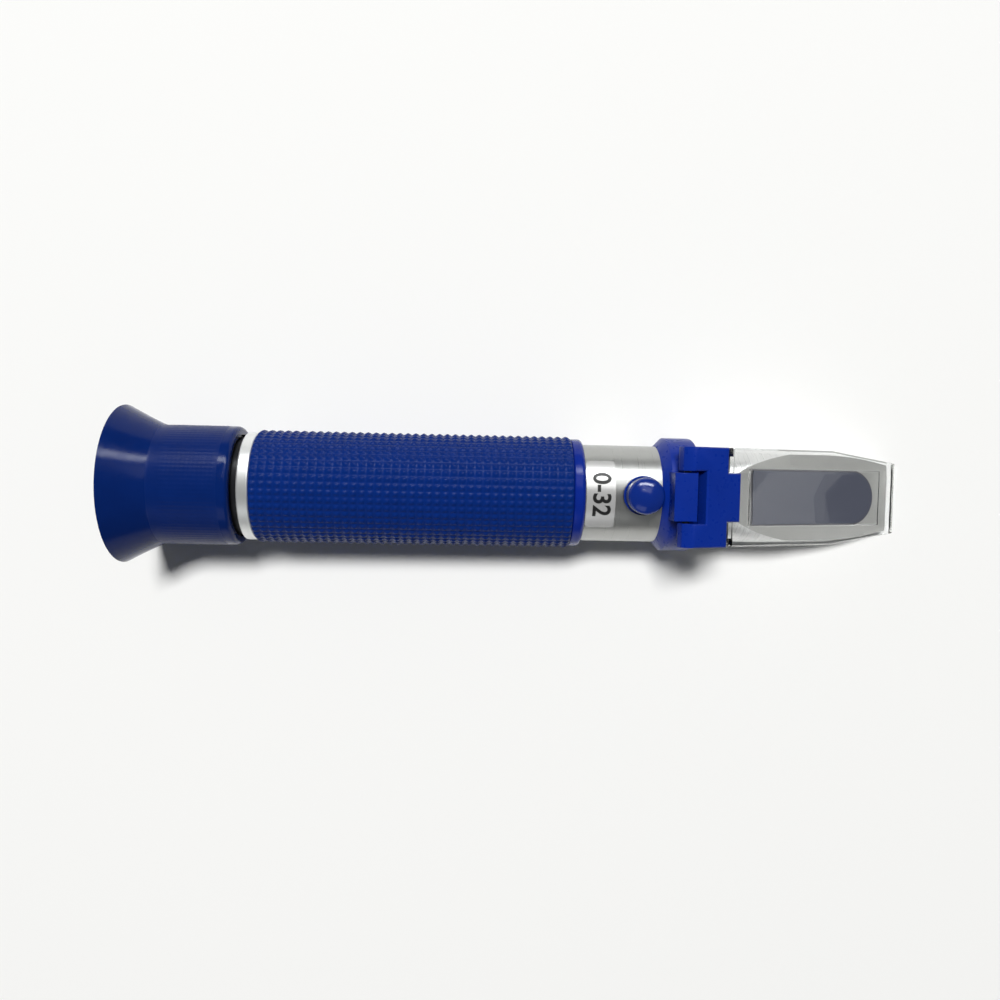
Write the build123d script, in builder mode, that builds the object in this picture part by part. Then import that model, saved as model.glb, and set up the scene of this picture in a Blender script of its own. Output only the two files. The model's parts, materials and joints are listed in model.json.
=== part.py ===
"""Hand-held refractometer, lying level along X with its screw cap upwards.

+X runs along the optical axis from the eyepiece to the prism and +Z is up.
The origin is on the surface below the middle of the instrument.
All sizes are millimetres.
"""

import os
from math import asin, cos, hypot, radians, sin, sqrt, tan

from build123d import *

# Fits
seat_clearance = 0.02
running_clearance = 0.05

# Eyecup: soft flared cup with a sleeve over the focusing ring
eyecup_length = 26.4
sleeve_wall = 1.93
flare_length = 9.0
flare_height = 4.4
flare_lip = 0.8
flare_wall = 1.3
flare_foot = 1.6
cup_depth = 8.8
cup_floor = 1.6
eyecup_end_round = 1.1

# Focusing ring under the eyecup, with the screwed tube that runs in the barrel
ring_step = 0.5
ring_recess = 0.7
ring_lip = 1.0
ring_lip_height = 1.4
thread_wall = 0.95
thread_length = 8.0
shoulder_clearance = 0.1

# Lens tube inside the focusing ring
tube_wall = 1.1
tube_shoulder = 1.2
tube_shoulder_length = 1.2
eye_lens_edge = 2.0
field_lens_edge = 1.6
lens_bulge = 1.3
lens_rim = 1.1
lens_spacer_length = 6.5
lens_spacer_wall = 0.9
retainer_length = 2.2
retainer_wall = 1.4
guide_screw_radius = 1.0
guide_slot_clearance = 0.05
guide_end_clearance = 0.4
guide_screw_reach = 1.8
guide_screw_sink = 0.15

# Focusing travel
focus_gap = 1.4
focus_in = 1.2
focus_out = 3.5

# Barrel
barrel_radius = 11.25
barrel_wall = 1.25
rear_ring_width = 2.6
rear_ring_height = 1.15
rear_ring_seat = 1.3
rear_ring_edge = 0.35
bare_barrel_length = 17.2

# Rubber grip
grip_length = 74.4
grip_lip_length = 2.8
grip_thickness = 1.8
grip_groove_depth = 0.5
grip_groove_count = 48
grip_lip_thickness = 1.25
grip_lip_round = 1.05

# Scale label on the barrel
label_gap = 0.15
label_length = 6.5
label_chord = 15.0
label_thickness = 0.12
label_corner = 0.8

# Front collar with its hinge lug
collar_width = 8.6
collar_chamfer = 1.9
collar_thickness = 2.0
collar_edge = 0.8
foot_width = 8.0
lug_width = 10.6
lug_behind_pin = 3.1
lug_before_pin = 2.0
lug_above_pin = 1.9
lug_edge = 0.2
lug_sink = 1.6
set_screw_radius = 1.25
set_screw_angle = 50
set_screw_sink = 0.6
set_screw_to_front = 5.4

# Hinge and cover
pin_lift = 1.95
pin_setback = 4.2
pin_radius = 0.75
pin_end_gap = 0.4
cover_inset = 0.25
eye_radius = 1.9
arm_gap = 0.45
hinge_clearance = 0.3
bracket_end = 8.7
bracket_top = 3.2
bracket_under = 0.0
bracket_edge = 0.3
tongue_length = 3.35
tongue_width = 10.8

# Clear daylight plate
plate_thickness = 2.7
plate_taper_start = 38.7
plate_end = 58.1
plate_taper = 2.55
plate_edge = 0.35
tail_thickness = 1.5
tail_start = 4.9
tail_side = 1.9
tail_cover = 1.1

# Measuring face, below the plane through the pin
face_drop = 1.0
sample_gap = 0.05
pad_height = 0.55
pad_start = 16.5
pad_length = 38.0
pad_margin = 0.35

# Prism and its holder
prism_start = 17.6
prism_length = 35.0
prism_cheek = 3.75
prism_tip_height = 3.35
prism_proud = 0.25
seal_width = 0.4
seal_depth = 1.5
holder_step = 0.45
holder_flat = 0.95
holder_taper_start = 38.0
holder_end = 57.2
holder_tip_height = 6.44
holder_taper = 2.1
holder_edge = 0.3
holder_flange_length = 3.3
spigot_length = 4.5
spigot_wall = 3.38

# Calibration screw, its bush and its rubber cap
cap_to_collar = 4.55
cap_radius = 4.05
cap_foot_radius = 4.4
cap_foot_height = 1.3
cap_height = 6.5
cap_dome = 1.5
cap_round = 1.2
cap_cavity_height = 4.3
cap_saddle_gap = 0.1
bush_radius = 2.4
bush_flange_radius = 3.2
bush_flange_height = 1.4
bush_depth = 0.5
screw_radius = 1.25
screw_head_radius = 2.2
screw_head_height = 1.5
screw_head_gap = 0.5
screw_slot_width = 0.6
screw_slot_depth = 0.8

# Objective cell, carried by the bimetal strip and pushed by the calibration screw
cell_length = 7.6
cell_gap = 2.2
cell_wall = 1.4
cell_lip = 1.0
cell_lip_width = 0.8
objective_edge = 3.0
objective_bulge = 1.0
objective_retainer_length = 1.4
objective_retainer_wall = 1.0
strip_flat = 0.5
strip_thickness = 0.6
strip_width = 5.0
strip_length = 31.0
strip_overhang = 1.5
anchor_length = 7.0
anchor_width = 6.0
anchor_screw_radius = 1.0
anchor_screw_head_radius = 1.8
anchor_screw_head_height = 0.8
anchor_screw_sink = 0.2

# Reticle and baffle
reticle_gap = 1.0
reticle_ring_wall = 1.0
reticle_thickness = 1.5
reticle_ring_length = 5.0
reticle_seat_width = 0.8
baffle_gap = 0.95
baffle_wall = 1.0
baffle_lip = 1.0
baffle_stop_radius = 5.5
baffle_stop_length = 1.0

# Radii and half widths, each built up or down from the barrel's
bore_radius = barrel_radius - barrel_wall
seat_radius = bore_radius - seat_clearance
rear_ring_radius = barrel_radius + rear_ring_height
grip_radius = barrel_radius + grip_thickness
grip_lip_radius = barrel_radius + grip_lip_thickness
collar_radius = barrel_radius + collar_thickness
ring_radius = barrel_radius + ring_step
ring_bore_radius = bore_radius - running_clearance - thread_wall
eye_hole_radius = ring_bore_radius - ring_lip_height
sleeve_bore_radius = ring_radius + seat_clearance
eyecup_radius = sleeve_bore_radius + sleeve_wall
rim_radius = eyecup_radius + flare_height
holder_radius = barrel_radius - holder_step
holder_half_width = holder_radius - holder_flat
holder_tip_half_width = holder_half_width - holder_taper
light_bore_radius = seat_radius - spigot_wall
prism_width = 2 * (holder_half_width - prism_cheek)
pad_width = prism_width + 2 * pad_margin
cover_width = 2 * (barrel_radius - cover_inset)
plate_tip_width = cover_width - 2 * plate_taper
cell_radius = bore_radius - cell_gap
reticle_radius = bore_radius - reticle_ring_wall
reticle_opening_radius = reticle_radius - reticle_seat_width

# Heights above the optical axis, and the axis above the surface
axis_height = rim_radius
pin_height = collar_radius + pin_lift
strip_height = cell_radius - strip_flat

# The cover's plane goes down from the pin to this height over the bottom of the holder's tip
slope = asin((pin_height + holder_radius - holder_tip_height) / holder_end)

# Places along the optical axis, from the eyecup's rim to the tip of the plate
plate_under = sample_gap + pad_height - face_drop
plate_top = plate_under + plate_thickness
to_pin = (
    eyecup_length + focus_gap + rear_ring_width + grip_length + bare_barrel_length
    + collar_width - pin_setback
)
overall_length = to_pin + plate_end * cos(slope) + (plate_top - plate_edge) * sin(slope)
rim_x = -overall_length / 2
right_through = overall_length
cup_floor_x = rim_x + cup_depth
ring_start_x = cup_floor_x + cup_floor
eyecup_end_x = rim_x + eyecup_length
rear_ring_x = eyecup_end_x + focus_gap
grip_rear_x = rear_ring_x + rear_ring_width
barrel_rear_x = grip_rear_x - rear_ring_seat
grip_front_x = grip_rear_x + grip_length
collar_rear_x = grip_front_x + bare_barrel_length
collar_front_x = collar_rear_x + collar_width
barrel_front_x = collar_front_x - holder_flange_length
pin_x = collar_front_x - pin_setback
cap_x = collar_rear_x - cap_to_collar
set_screw_x = collar_front_x - set_screw_to_front
prism_rear_x = pin_x + prism_start * cos(slope) - face_drop * sin(slope)
prism_tip_x = pin_x + (prism_start + prism_length) * cos(slope)

# Planes and axes of the instrument
optical_axis = Axis((0, 0, axis_height), (1, 0, 0))
side_plane = Plane(origin=(0, 0, axis_height), x_dir=(1, 0, 0), z_dir=(0, -1, 0))
cap_side = Plane(origin=(cap_x, 0, axis_height), x_dir=(1, 0, 0), z_dir=(0, -1, 0))
cap_axis = Axis((cap_x, 0, axis_height), (0, 0, 1))
pin_point = (pin_x, 0, axis_height + pin_height)
cover_side = Plane(origin=pin_point, x_dir=(cos(slope), 0, -sin(slope)), z_dir=(0, -1, 0))
cover_face = Plane(
    origin=pin_point,
    x_dir=(cos(slope), 0, -sin(slope)),
    z_dir=(sin(slope), 0, cos(slope)),
)

cover_normal = Axis(pin_point, (sin(slope), 0, cos(slope)))


def cross_section(x):
    """The plane across the optical axis at x, with its normal along +X."""
    return Plane(origin=(x, 0, axis_height), x_dir=(0, 1, 0), z_dir=(1, 0, 0))


def set_screw_plane(side):
    """The plane on the optical axis that faces along one of the two collar set screws."""
    angle = radians(set_screw_angle)
    return Plane(
        origin=(set_screw_x, 0, axis_height),
        x_dir=(1, 0, 0),
        z_dir=(0, side * sin(angle), -cos(angle)),
    )


def half_section(*points, plane=side_plane):
    """A closed outline in a plane that holds the axis it is turned about."""
    with BuildSketch(plane) as section:
        with BuildLine():
            Polyline(*points, close=True)
        make_face()
    return section.sketch


def lens_section(x, edge, radius, rear_bulge, front_bulge):
    """Half section of a lens whose edge starts at x, bulging by these amounts inside its flat rim."""
    clear_radius = radius - lens_rim
    with BuildSketch(side_plane) as section:
        with BuildLine():
            Line((x - rear_bulge, 0), (x + edge + front_bulge, 0))
            if front_bulge > 0:
                TangentArc((x + edge + front_bulge, 0), (x + edge, clear_radius), tangent=(0, 1))
            else:
                Line((x + edge, 0), (x + edge, clear_radius))
            Polyline((x + edge, clear_radius), (x + edge, radius), (x, radius), (x, clear_radius))
            if rear_bulge > 0:
                TangentArc((x - rear_bulge, 0), (x, clear_radius), tangent=(0, 1))
            else:
                Line((x, clear_radius), (x, 0))
        make_face()
    return section.sketch


def round_end(start, length, width):
    """An outline on the cover's plane, square at its rear and half round at its front."""
    centre = start + length - width / 2
    with BuildSketch(cover_face) as outline:
        with Locations(((start + centre) / 2, 0)):
            Rectangle(centre - start, width)
        with Locations((centre, 0)):
            Circle(width / 2)
    return outline.sketch


def face_height(x):
    """Height of the measuring face over the optical axis at x."""
    return pin_height - face_drop / cos(slope) - (x - pin_x) * tan(slope)


def prism_block(margin):
    """The block that the prism fills, grown by a margin on its sides, ends and bottom."""
    rear_x = prism_rear_x - margin
    front_x = prism_tip_x + margin
    bottom = face_height(prism_tip_x) - prism_tip_height - margin
    with BuildPart() as block:
        with BuildSketch(side_plane):
            with BuildLine():
                Polyline(
                    (rear_x, face_height(rear_x)),
                    (rear_x, bottom),
                    (front_x, bottom),
                    (front_x, face_height(front_x)),
                    close=True,
                )
            make_face()
        extrude(amount=prism_width, both=True)
        extrude(
            round_end(0, prism_start + prism_length + margin, prism_width + 2 * margin),
            amount=right_through,
            both=True,
            mode=Mode.INTERSECT,
        )
    return block.part


# Eyecup
with BuildPart() as eyecup:
    revolve(
        half_section(
            (rim_x, rim_radius),
            (rim_x + flare_length, eyecup_radius),
            (eyecup_end_x, eyecup_radius),
            (eyecup_end_x, sleeve_bore_radius),
            (ring_start_x, sleeve_bore_radius),
            (ring_start_x, eye_hole_radius),
            (cup_floor_x, eye_hole_radius),
            (cup_floor_x - flare_foot, eyecup_radius - flare_wall),
            (rim_x, rim_radius - flare_lip),
        ),
        axis=optical_axis,
    )
    end_edges = eyecup.edges().filter_by(GeomType.CIRCLE).group_by(Axis.X)[-1]
    fillet(end_edges.sort_by(SortBy.RADIUS)[-1], eyecup_end_round)
eyecup.part.label = "eyecup"

# Focusing ring, black, with the screwed tube that runs in the barrel
ring_end_x = eyecup_end_x - ring_recess
step_x = barrel_rear_x - focus_in - shoulder_clearance
thread_end_x = barrel_rear_x + thread_length
with BuildPart() as focusing_ring:
    revolve(
        half_section(
            (ring_start_x, eye_hole_radius),
            (ring_start_x, ring_radius),
            (ring_end_x, ring_radius),
            (ring_end_x, barrel_radius - running_clearance),
            (step_x, barrel_radius - running_clearance),
            (step_x, bore_radius - running_clearance),
            (thread_end_x, bore_radius - running_clearance),
            (thread_end_x, ring_bore_radius),
            (ring_start_x + ring_lip, ring_bore_radius),
            (ring_start_x + ring_lip, eye_hole_radius),
        ),
        axis=optical_axis,
    )
focusing_ring.part.label = "focusing_ring"

# Lens tube: slides inside the focusing ring and is kept from turning by the guide screw
tube_radius = ring_bore_radius - running_clearance
tube_bore = tube_radius - tube_wall
tube_start_x = ring_start_x + ring_lip + running_clearance
eye_lens_x = tube_start_x + retainer_length
spacer_x = eye_lens_x + eye_lens_edge
field_lens_x = spacer_x + lens_spacer_length
shoulder_x = field_lens_x + field_lens_edge
guide_x = thread_end_x + focus_in + guide_end_clearance + guide_screw_radius
slot_start_x = guide_x - guide_screw_radius - focus_in - guide_end_clearance / 2
tube_end_x = guide_x + guide_screw_radius + focus_out + guide_end_clearance
slot_half_width = guide_screw_radius + guide_slot_clearance
with BuildPart() as lens_tube:
    revolve(
        half_section(
            (tube_start_x, tube_bore),
            (tube_start_x, tube_radius),
            (tube_end_x, tube_radius),
            (tube_end_x, tube_bore),
            (shoulder_x + tube_shoulder_length, tube_bore),
            (shoulder_x + tube_shoulder_length, tube_bore - tube_shoulder),
            (shoulder_x, tube_bore - tube_shoulder),
            (shoulder_x, tube_bore),
        ),
        axis=optical_axis,
    )
    with BuildSketch(Plane(origin=(0, 0, axis_height), x_dir=(1, 0, 0), z_dir=(0, 0, -1))):
        with Locations(((slot_start_x + tube_end_x) / 2, 0)):
            Rectangle(tube_end_x - slot_start_x, 2 * slot_half_width)
    extrude(amount=bore_radius, mode=Mode.SUBTRACT)
lens_tube.part.label = "lens_tube"

# Eyepiece lenses, the spacer between them and the ring that holds them in
lens_radius = tube_bore - seat_clearance
with BuildPart() as eye_lens:
    revolve(lens_section(eye_lens_x, eye_lens_edge, lens_radius, 0, lens_bulge), axis=optical_axis)
eye_lens.part.label = "eye_lens"

with BuildPart() as field_lens:
    revolve(lens_section(field_lens_x, field_lens_edge, lens_radius, lens_bulge, 0), axis=optical_axis)
field_lens.part.label = "field_lens"

with BuildPart() as lens_spacer:
    with BuildSketch(cross_section(spacer_x)):
        Circle(lens_radius)
        Circle(lens_radius - lens_spacer_wall, mode=Mode.SUBTRACT)
    extrude(amount=lens_spacer_length)
lens_spacer.part.label = "lens_spacer"

with BuildPart() as lens_retainer:
    with BuildSketch(cross_section(tube_start_x)):
        Circle(lens_radius)
        Circle(lens_radius - retainer_wall, mode=Mode.SUBTRACT)
    extrude(amount=retainer_length)
lens_retainer.part.label = "lens_retainer"

# Guide screw in the barrel wall, with its tip in the slot of the lens tube
with BuildPart() as guide_screw:
    with BuildSketch(Plane(origin=(guide_x, 0, axis_height), x_dir=(1, 0, 0), z_dir=(0, 0, -1))):
        Circle(guide_screw_radius)
    extrude(amount=barrel_radius - guide_screw_sink)
    with BuildSketch(cross_section(guide_x)):
        Circle(bore_radius - guide_screw_reach)
    extrude(amount=2 * guide_screw_radius, both=True, mode=Mode.SUBTRACT)
guide_screw.part.label = "guide_screw"

# Places of the objective cell, its strip and the anchor that holds the strip
cell_x = cap_x - cell_length / 2
strip_end_x = cell_x + cell_length - strip_overhang
strip_start_x = strip_end_x - strip_length
strip_top = strip_height + strip_thickness
anchor_x = strip_start_x + anchor_length / 2
anchor_plane = Plane(origin=(anchor_x, 0, axis_height), x_dir=(1, 0, 0), z_dir=(0, -1, 0))
anchor_axis = Axis((anchor_x, 0, axis_height), (0, 0, 1))


def anchor_screw_section(clearance):
    """Half section of the countersunk anchor screw, grown by a clearance."""
    head_top = barrel_radius - anchor_screw_sink
    head_foot = head_top - anchor_screw_head_height
    return half_section(
        (0, head_top + clearance),
        (anchor_screw_head_radius + clearance, head_top + clearance),
        (anchor_screw_radius + clearance, head_foot),
        (anchor_screw_radius + clearance, strip_height - clearance),
        (0, strip_height - clearance),
        plane=anchor_plane,
    )


# Barrel
with BuildPart() as barrel_tube:
    with BuildSketch(cross_section(barrel_rear_x)):
        Circle(barrel_radius)
        Circle(bore_radius, mode=Mode.SUBTRACT)
    extrude(amount=barrel_front_x - barrel_rear_x)
    with BuildSketch(Plane(origin=(cap_x, 0, axis_height))):
        Circle(bush_radius + seat_clearance)
    extrude(amount=right_through, mode=Mode.SUBTRACT)
    with BuildSketch(Plane(origin=(guide_x, 0, axis_height), x_dir=(1, 0, 0), z_dir=(0, 0, -1))):
        Circle(guide_screw_radius + seat_clearance)
    extrude(amount=right_through, mode=Mode.SUBTRACT)
    revolve(anchor_screw_section(seat_clearance), axis=anchor_axis, mode=Mode.SUBTRACT)
    with BuildSketch(Plane(origin=(anchor_x, 0, axis_height + barrel_radius - anchor_screw_sink))):
        Circle(anchor_screw_head_radius + seat_clearance)
    extrude(amount=barrel_radius, mode=Mode.SUBTRACT)
    for side in (-1, 1):
        with BuildSketch(set_screw_plane(side)):
            Circle(set_screw_radius + seat_clearance)
        extrude(amount=right_through, mode=Mode.SUBTRACT)
barrel_tube.part.label = "barrel_tube"

# Rear ring: the bush that the focusing ring screws into
with BuildPart() as rear_ring:
    with BuildSketch(cross_section(rear_ring_x)):
        Circle(rear_ring_radius)
        Circle(barrel_radius, mode=Mode.SUBTRACT)
    extrude(amount=rear_ring_width)
    outer_edges = rear_ring.edges().filter_by(GeomType.CIRCLE).filter_by(
        lambda edge: edge.radius > barrel_radius + seat_clearance
    )
    fillet(outer_edges, rear_ring_edge)
rear_ring.part.label = "rear_ring"

# Rubber grip: a ribbed sleeve that ends in a smooth rounded lip
ribbed_length = grip_length - grip_lip_length
with BuildPart() as rubber_grip:
    revolve(
        half_section(
            (grip_rear_x, barrel_radius),
            (grip_rear_x, grip_radius),
            (grip_rear_x + ribbed_length, grip_radius),
            (grip_rear_x + ribbed_length, grip_lip_radius),
            (grip_front_x, grip_lip_radius),
            (grip_front_x, barrel_radius),
        ),
        axis=optical_axis,
    )
    lip_edges = rubber_grip.edges().filter_by(GeomType.CIRCLE).group_by(Axis.X)[-1]
    fillet(lip_edges.sort_by(SortBy.RADIUS)[-1], grip_lip_round)
    with BuildSketch(cross_section(grip_rear_x)):
        with PolarLocations(grip_radius, grip_groove_count):
            RegularPolygon(grip_groove_depth, 4)
    extrude(amount=ribbed_length, mode=Mode.SUBTRACT)
rubber_grip.part.label = "rubber_grip"

# Label wrapped over the top of the bare barrel
label_x = grip_front_x + label_gap + label_length / 2
with BuildPart() as range_label:
    with BuildSketch(Plane(origin=(label_x, 0, axis_height))):
        RectangleRounded(label_length, label_chord, label_corner)
    extrude(amount=right_through)
    with BuildSketch(cross_section(label_x)):
        Circle(barrel_radius + label_thickness)
        Circle(barrel_radius, mode=Mode.SUBTRACT)
    extrude(amount=label_length, both=True, mode=Mode.INTERSECT)
range_label.part.label = "range_label"

# Front collar with the hinge lug on its top and a flat foot below
collar_bore = barrel_radius + seat_clearance
foot_height = sqrt(collar_radius**2 - (foot_width / 2) ** 2)
lug_length = lug_behind_pin + lug_before_pin
lug_top = pin_height + lug_above_pin
lug_foot = collar_radius - lug_sink
with BuildPart() as front_collar:
    revolve(
        half_section(
            (collar_rear_x, collar_bore),
            (collar_rear_x + collar_chamfer, collar_radius),
            (collar_front_x, collar_radius),
            (collar_front_x, collar_bore),
        ),
        axis=optical_axis,
    )
    front_edges = front_collar.edges().filter_by(GeomType.CIRCLE).group_by(Axis.X)[-1]
    fillet(front_edges.sort_by(SortBy.RADIUS)[-1], collar_edge)
    with BuildSketch(Plane(origin=(0, 0, axis_height - foot_height), z_dir=(0, 0, -1))):
        Rectangle(right_through, right_through)
    extrude(amount=right_through, mode=Mode.SUBTRACT)
    with BuildSketch(Plane(origin=(pin_x, 0, axis_height + lug_foot))):
        with Locations(((lug_before_pin - lug_behind_pin) / 2, 0)):
            Rectangle(lug_length, lug_width)
    extrude(amount=lug_top - lug_foot)
    top_edges = front_collar.faces().sort_by(Axis.Z)[-1].edges()
    fillet(top_edges, lug_edge)
    with BuildSketch(cover_side):
        Circle(pin_radius + running_clearance)
    extrude(amount=right_through, both=True, mode=Mode.SUBTRACT)
    for side in (-1, 1):
        with BuildSketch(set_screw_plane(side)):
            Circle(set_screw_radius + seat_clearance)
        extrude(amount=right_through, mode=Mode.SUBTRACT)
front_collar.part.label = "front_collar"

# Set screws that fix the collar and the prism holder to the barrel
with BuildPart() as collar_set_screws:
    for side in (-1, 1):
        with BuildSketch(set_screw_plane(side)):
            Circle(set_screw_radius)
        extrude(amount=collar_radius - set_screw_sink)
    with BuildSketch(cross_section(set_screw_x)):
        Circle(bore_radius)
    extrude(amount=2 * set_screw_radius, both=True, mode=Mode.SUBTRACT)
collar_set_screws.part.label = "collar_set_screws"

# Prism holder: a round bar cut off at the cover's slope, with the light bore and the prism's bed
seal_block = prism_block(seal_width)
spigot_x = barrel_front_x - spigot_length
holder_tip_x = pin_x + holder_end * cos(slope)
holder_taper_x = pin_x + holder_taper_start * cos(slope)
holder_top = face_drop + prism_proud
holder_body_length = holder_tip_x - collar_front_x
with BuildPart() as prism_holder:
    with BuildSketch(cross_section(collar_front_x)):
        Circle(holder_radius)
    extrude(amount=holder_body_length)
    with BuildSketch(Plane(origin=(0, 0, axis_height))):
        with BuildLine():
            Line((spigot_x, holder_half_width), (holder_taper_x, holder_half_width))
            TangentArc(
                (holder_taper_x, holder_half_width),
                (holder_tip_x, holder_tip_half_width),
                tangent=(1, 0),
            )
            Line((holder_tip_x, holder_tip_half_width), (holder_tip_x, 0))
            Line((holder_tip_x, 0), (spigot_x, 0))
            Line((spigot_x, 0), (spigot_x, holder_half_width))
        make_face()
        mirror(about=Plane.XZ)
    extrude(amount=right_through, both=True, mode=Mode.INTERSECT)
    with BuildSketch(cover_face.offset(-holder_top)):
        Rectangle(right_through, right_through)
    extrude(amount=right_through, mode=Mode.SUBTRACT)
    tip_edges = prism_holder.faces().sort_by(Axis.X)[-1].edges()
    chamfer(tip_edges, holder_edge)
    with BuildSketch(cross_section(barrel_front_x)):
        Circle(barrel_radius)
    extrude(amount=holder_flange_length)
    with BuildSketch(cross_section(spigot_x)):
        Circle(seat_radius)
    extrude(amount=spigot_length)
    with BuildSketch(cross_section(spigot_x)):
        Circle(light_bore_radius)
    extrude(amount=pin_x + prism_start * cos(slope) - spigot_x, mode=Mode.SUBTRACT)
    add(seal_block, mode=Mode.SUBTRACT)
prism_holder.part.label = "prism_holder"

# Measuring prism, a wedge of glass with a half round front end
with BuildPart() as main_prism:
    add(prism_block(0))
main_prism.part.label = "main_prism"

# Seal round the measuring face
seal_outer = prism_block(seal_width - seat_clearance)
seal_inner = prism_block(seat_clearance)
with BuildPart() as prism_seal:
    add(seal_outer)
    add(seal_inner, mode=Mode.SUBTRACT)
    with BuildSketch(cover_face.offset(-holder_top)):
        Rectangle(right_through, right_through)
    extrude(amount=right_through, mode=Mode.SUBTRACT)
    with BuildSketch(cover_face.offset(-holder_top - seal_depth)):
        Rectangle(right_through, right_through)
    extrude(amount=-right_through, mode=Mode.SUBTRACT)
prism_seal.part.label = "prism_seal"

# Cover bracket: two arms with eyes on the pin, a bridge in front of the lug and a tongue
arm_inner = lug_width / 2 + arm_gap
web_start = hypot(lug_before_pin, lug_above_pin) + hinge_clearance
tail_top = bracket_top - tail_cover
tail_bottom = tail_top - tail_thickness
tail_width = cover_width - 2 * tail_side
with BuildPart() as cover_bracket:
    with BuildSketch(cover_side):
        Circle(eye_radius)
        with BuildLine():
            Polyline(
                (0, -eye_radius),
                (eye_radius, -eye_radius),
                (web_start + eye_radius, bracket_under),
                (bracket_end, bracket_under),
                (bracket_end, bracket_top),
                (0, bracket_top),
                (-eye_radius, bracket_top - eye_radius),
                (-eye_radius, 0),
                close=True,
            )
        make_face()
    extrude(amount=cover_width / 2, both=True)
    with BuildSketch(cover_side):
        Rectangle(right_through, right_through)
    extrude(amount=arm_inner, both=True, mode=Mode.SUBTRACT)
    with BuildSketch(cover_side):
        with Locations(((web_start + bracket_end) / 2, (bracket_under + bracket_top) / 2)):
            Rectangle(bracket_end - web_start, bracket_top - bracket_under)
    extrude(amount=arm_inner, both=True)
    with BuildSketch(cover_face.offset(plate_top)):
        with Locations((bracket_end, 0)):
            Rectangle(2 * tongue_length, tongue_width)
    extrude(amount=bracket_top - plate_top)
    chamfer(cover_bracket.faces().sort_by(cover_normal)[-1].edges(), bracket_edge)
    with BuildSketch(cover_face.offset(tail_bottom)):
        with Locations(((tail_start + bracket_end) / 2, 0)):
            Rectangle(bracket_end - tail_start, tail_width)
    extrude(amount=tail_thickness, mode=Mode.SUBTRACT)
    with BuildSketch(cover_side):
        Circle(pin_radius + seat_clearance)
    extrude(amount=right_through, both=True, mode=Mode.SUBTRACT)
cover_bracket.part.label = "cover_bracket"

# Clear daylight plate with the raised pad that presses the sample on the prism
with BuildPart() as daylight_plate:
    with BuildSketch(cover_face.offset(plate_under)):
        with BuildLine():
            Polyline(
                (bracket_end, cover_width / 2),
                (plate_taper_start, cover_width / 2),
                (plate_end, plate_tip_width / 2),
                (plate_end, -plate_tip_width / 2),
                (plate_taper_start, -cover_width / 2),
                (bracket_end, -cover_width / 2),
                close=True,
            )
        make_face()
    extrude(amount=plate_thickness)
    chamfer(daylight_plate.faces().sort_by(cover_normal)[-1].edges(), plate_edge)
    with BuildSketch(cover_face.offset(tail_bottom)):
        with Locations(((tail_start + bracket_end) / 2, 0)):
            Rectangle(bracket_end - tail_start, tail_width - 2 * seat_clearance)
        with Locations((bracket_end, 0)):
            Rectangle(2 * plate_edge, tail_width - 2 * seat_clearance)
    extrude(amount=tail_thickness)
    with BuildSketch(cover_face.offset(plate_under)):
        with Locations((pad_start + pad_length / 2, 0)):
            Rectangle(pad_length, pad_width)
    extrude(amount=-pad_height)
daylight_plate.part.label = "daylight_plate"

# Hinge pin
with BuildPart() as hinge_pin:
    with BuildSketch(cover_side):
        Circle(pin_radius)
    extrude(amount=cover_width / 2 - pin_end_gap, both=True)
hinge_pin.part.label = "hinge_pin"

# Bush of the calibration screw, with a flange on the barrel
bush_top = barrel_radius + bush_flange_height
with BuildPart() as calibration_bush:
    with BuildSketch(Plane(origin=(cap_x, 0, axis_height + bore_radius))):
        Circle(bush_flange_radius)
    extrude(amount=bush_top - bore_radius)
    with BuildSketch(cross_section(cap_x)):
        Circle(barrel_radius)
    extrude(amount=bush_flange_radius, both=True, mode=Mode.SUBTRACT)
    with BuildSketch(Plane(origin=(cap_x, 0, axis_height + bore_radius - bush_depth))):
        Circle(bush_radius)
    extrude(amount=bush_top - bore_radius + bush_depth)
    with BuildSketch(Plane(origin=(cap_x, 0, axis_height))):
        Circle(screw_radius + running_clearance)
    extrude(amount=right_through, mode=Mode.SUBTRACT)
calibration_bush.part.label = "calibration_bush"

# Calibration screw, with its tip on the bimetal strip
head_foot = bush_top + screw_head_gap
head_top = head_foot + screw_head_height
with BuildPart() as calibration_screw:
    revolve(
        half_section(
            (0, strip_top + seat_clearance),
            (screw_radius, strip_top + seat_clearance),
            (screw_radius, head_foot),
            (screw_head_radius, head_foot),
            (screw_head_radius, head_top),
            (0, head_top),
            plane=cap_side,
        ),
        axis=cap_axis,
    )
    with BuildSketch(Plane(origin=(cap_x, 0, axis_height + head_top))):
        Rectangle(screw_slot_width, right_through)
    extrude(amount=-screw_slot_depth, mode=Mode.SUBTRACT)
calibration_screw.part.label = "calibration_screw"

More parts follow.
